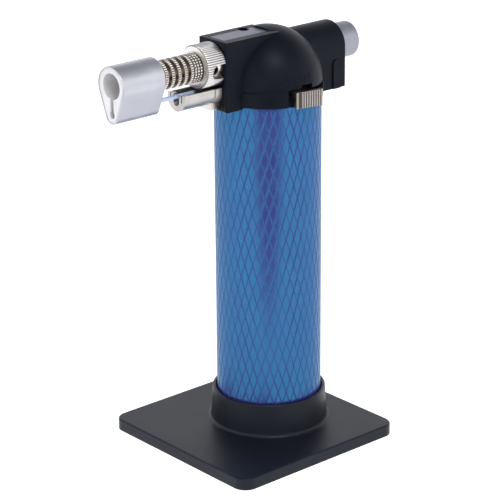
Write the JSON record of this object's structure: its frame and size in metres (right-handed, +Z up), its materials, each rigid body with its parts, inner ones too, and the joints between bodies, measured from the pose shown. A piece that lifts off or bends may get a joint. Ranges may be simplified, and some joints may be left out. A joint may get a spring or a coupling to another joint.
{
  "type": "butane torch",
  "caption": "Bench butane torch: knurled fuel tank in a square stand, black head with finned burner, ceramic-lined flame guard, air collar, gas lever and push ignition.",
  "frame": {"origin": "on the tank's axis, at the underside of the stand", "axes": "+Z up along the tank, -Y along the nozzle, +X the side with the gas lever"},
  "size_m": [0.0738, 0.1075, 0.1519],
  "materials": {
    "stand_plastic": "satin black moulded plastic",
    "housing_plastic": "satin bluish black moulded plastic",
    "tank_blue": "blue anodised, diamond knurled",
    "aluminium": "satin",
    "nickel": "nickel plate",
    "ceramic": "white unglazed ceramic",
    "brass": "machined",
    "copper": "drawn copper tube",
    "label_grey": "grey plate, blank",
    "wire_blue": "pale blue insulation",
    "steel": "zinc plated or stainless",
    "white_plastic": "natural nylon",
    "seal_rubber": "nitrile"
  },
  "bodies": {
    "stand": {"stand_base": "stand_plastic"},
    "gas_lever": {"gas_lever": "nickel", "valve_adjuster": "brass"},
    "button": {"ignition_button": "aluminium", "piezo_plunger": "white_plastic"},
    "air_collar": {"air_collar": "nickel"},
    "fill_stem": {"fill_valve_stem": "brass"},
    "torch": {"housing_cover": "housing_plastic", "skirt_ring": "housing_plastic", "tank_shell": "tank_blue", "tank_base": "aluminium", "tank_cap": "aluminium", "flame_guard": "aluminium", "burner_tube": "nickel", "wire_trough": "nickel", "trough_foot": "nickel", "trough_rivet": "nickel", "ceramic_insert": "ceramic", "piezo_crystal": "ceramic", "outlet_valve_body": "brass", "valve_nozzle": "brass", "fill_valve_body": "brass", "jet_nozzle": "brass", "burner_tip": "brass", "gas_elbow": "brass", "burner_nut": "brass", "gas_pipe": "copper", "label_plate": "label_grey", "ignition_wire": "wire_blue", "head_bracket": "steel", "bracket_screw": "steel", "cover_screw": "steel", "fill_valve_spring": "steel", "button_spring": "steel", "electrode": "steel", "flame_screen": "steel", "piezo_hammer": "steel", "piezo_case": "white_plastic", "wick_tube": "white_plastic", "tank_seal": "seal_rubber", "valve_washer": "seal_rubber", "fill_valve_seal": "seal_rubber"}
  },
  "joints": [
    {"name": "torch_lift", "type": "slide", "parent": "stand", "child": "torch", "axis": [0, 0, 1], "range_m": [0, 0.02]},
    {"name": "gas_lever_turn", "type": "hinge", "parent": "torch", "child": "gas_lever", "pos_m": [0, 0, 0.1312], "axis": [0, 0, 1], "range_deg": [0, 32]},
    {"name": "button_press", "type": "slide", "parent": "torch", "child": "button", "axis": [0, -1, 0], "range_m": [0, 0.005], "stiffness_N_per_m": 400, "springref_m": -0.002, "deforming": ["button_spring"]},
    {"name": "air_collar_turn", "type": "hinge", "parent": "torch", "child": "air_collar", "pos_m": [0, -0.0294, 0.1428], "axis": [0, -1, 0], "range_deg": [-40, 40]},
    {"name": "fill_stem_press", "type": "slide", "parent": "torch", "child": "fill_stem", "axis": [0, 0, 1], "range_m": [0, 0.0015], "stiffness_N_per_m": 300, "springref_m": -0.001, "deforming": ["fill_valve_spring"]}
  ]
}
